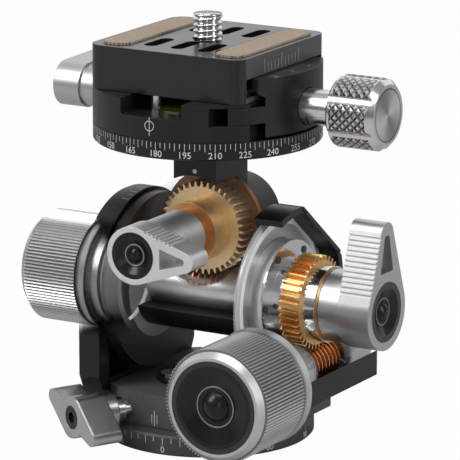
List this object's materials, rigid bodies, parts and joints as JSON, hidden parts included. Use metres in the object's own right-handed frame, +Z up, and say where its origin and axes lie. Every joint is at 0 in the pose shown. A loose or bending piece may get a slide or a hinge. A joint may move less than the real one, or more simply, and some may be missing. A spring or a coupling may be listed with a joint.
{
  "type": "geared tripod head",
  "caption": "Compact geared tripod head: pan base, worm-driven forward and side tilt stages with knobs and release levers, panning clamp with a screw jaw, camera plate.",
  "frame": {"origin": "centre of the base underside, on the pan axis", "axes": "+Z up along the pan axis; -Y is the front, where the forward tilt knob and the roll release lever are; +X is the side of the clamp knob and the tilt release lever"},
  "size_m": [0.0869, 0.067, 0.0928],
  "materials": {
    "black_anodised": "satin black anodised",
    "satin_silver": "satin, bead blasted",
    "bright_steel": "turned and polished",
    "shaft_steel": "ground",
    "gear_brass": "machined",
    "dark_bronze": "dull",
    "black_cap": "glossy",
    "clear_housing": "clear",
    "level_vial": "glossy",
    "pad_rubber": "dotted"
  },
  "bodies": {
    "base": {"base_plate": "black_anodised", "pan_spindle": "shaft_steel", "pan_retainer": "shaft_steel"},
    "yoke": {"foot": "black_anodised", "foot_cover": "black_anodised", "foot_level": "bright_steel", "left_arm": "black_anodised", "left_arm_cover": "black_anodised", "cover_screws": "bright_steel", "right_arm": "black_anodised", "tilt_bearing": "bright_steel", "sight_ring": "clear_housing", "worm_block": "black_anodised", "worm_tube_front": "clear_housing", "worm_bush": "gear_brass"},
    "pan_lock": {"pan_lock_screw": "bright_steel", "pan_lock_wing": "satin_silver", "wing_bolt": "black_cap"},
    "front_drive": {"front_knob": "satin_silver", "front_knob_cap": "black_cap", "front_knob_ring": "satin_silver", "front_worm": "gear_brass", "front_collar": "shaft_steel"},
    "tilt_stage": {"tilt_disc": "black_anodised", "cradle": "black_anodised", "worm_tube_side": "clear_housing", "gear_housing": "clear_housing", "roll_bearing": "black_anodised", "tilt_drum": "bright_steel", "drum_screws": "bright_steel", "tilt_wheel": "gear_brass", "tilt_axle": "bright_steel", "tilt_seal": "dark_bronze"},
    "tilt_release": {"tilt_lever": "satin_silver", "tilt_lever_cap": "black_cap", "tilt_lever_ring": "satin_silver"},
    "side_drive": {"side_knob": "satin_silver", "side_knob_cap": "black_cap", "side_knob_ring": "satin_silver", "side_worm": "gear_brass", "side_collar": "shaft_steel"},
    "roll_stage": {"side_wheel": "gear_brass", "roll_axle": "shaft_steel", "roll_disc": "dark_bronze", "neck": "black_anodised", "scale_ring": "black_anodised", "pan_hub": "shaft_steel"},
    "roll_release": {"roll_lever": "satin_silver", "roll_lever_cap": "black_cap", "roll_lever_ring": "satin_silver"},
    "clamp": {"clamp_body": "black_anodised", "clamp_level": "level_vial", "stop_pin": "bright_steel"},
    "jaw": {"moving_jaw": "black_anodised"},
    "jaw_knob": {"clamp_knob": "bright_steel", "clamp_knob_cap": "satin_silver"},
    "clamp_lock": {"clamp_lever": "satin_silver"},
    "camera_plate": {"plate": "black_anodised", "plate_pads": "pad_rubber"},
    "camera_bolt": {"camera_screw": "bright_steel"}
  },
  "joints": [
    {"name": "pan", "type": "hinge", "parent": "base", "child": "yoke", "pos_m": [0, 0, 0.0044], "axis": [0, 0, 1], "continuous": true},
    {"name": "pan_lock_turn", "type": "hinge", "parent": "yoke", "child": "pan_lock", "pos_m": [0, 0, 0.0076], "axis": [-0.4695, -0.8829, 0], "range_deg": [-20, 60]},
    {"name": "tilt", "type": "hinge", "parent": "yoke", "child": "tilt_stage", "pos_m": [0, 0, 0.0322], "axis": [1, 0, 0], "range_deg": [-90, 20]},
    {"name": "front_knob_turn", "type": "hinge", "parent": "yoke", "child": "front_drive", "pos_m": [0.02555, 0, 0.0186], "axis": [0, 1, 0], "range_deg": [-800, 3600]},
    {"name": "tilt_release_turn", "type": "hinge", "parent": "tilt_stage", "child": "tilt_release", "pos_m": [0, 0, 0.0322], "axis": [1, 0, 0], "range_deg": [0, 60]},
    {"name": "side_knob_turn", "type": "hinge", "parent": "tilt_stage", "child": "side_drive", "pos_m": [0, 0, 0.0322], "axis": [1, 0, 0], "range_deg": [-720, 720]},
    {"name": "roll", "type": "hinge", "parent": "tilt_stage", "child": "roll_stage", "pos_m": [0, 0, 0.0458], "axis": [0, 1, 0], "range_deg": [-18, 18]},
    {"name": "roll_release_turn", "type": "hinge", "parent": "roll_stage", "child": "roll_release", "pos_m": [0, 0, 0.0458], "axis": [0, 1, 0], "range_deg": [-60, 0]},
    {"name": "clamp_pan", "type": "hinge", "parent": "roll_stage", "child": "clamp", "pos_m": [0, 0, 0.0696], "axis": [0, 0, 1], "continuous": true},
    {"name": "jaw_slide", "type": "slide", "parent": "clamp", "child": "jaw", "axis": [1, 0, 0], "range_m": [-0.00205, 0.001]},
    {"name": "jaw_knob_turn", "type": "hinge", "parent": "jaw", "child": "jaw_knob", "pos_m": [0, 0, 0.0751], "axis": [1, 0, 0], "range_deg": [-740, 360]},
    {"name": "clamp_lock_turn", "type": "hinge", "parent": "clamp", "child": "clamp_lock", "pos_m": [0, 0, 0.074], "axis": [1, 0, 0], "range_deg": [-30, 60]},
    {"name": "plate_slide", "type": "slide", "parent": "clamp", "child": "camera_plate", "axis": [0, 1, 0], "range_m": [-0.0018, 0.0018]},
    {"name": "camera_screw_turn", "type": "hinge", "parent": "camera_plate", "child": "camera_bolt", "pos_m": [0, 0, 0.0874], "axis": [0, 0, 1], "continuous": true}
  ],
  "couplings": [
    {"joint": "front_knob_turn", "follows": "tilt", "ratio": -40},
    {"joint": "side_knob_turn", "follows": "roll", "ratio": 40},
    {"joint": "jaw_knob_turn", "follows": "jaw_slide", "rad_per_m": 6283.2}
  ]
}
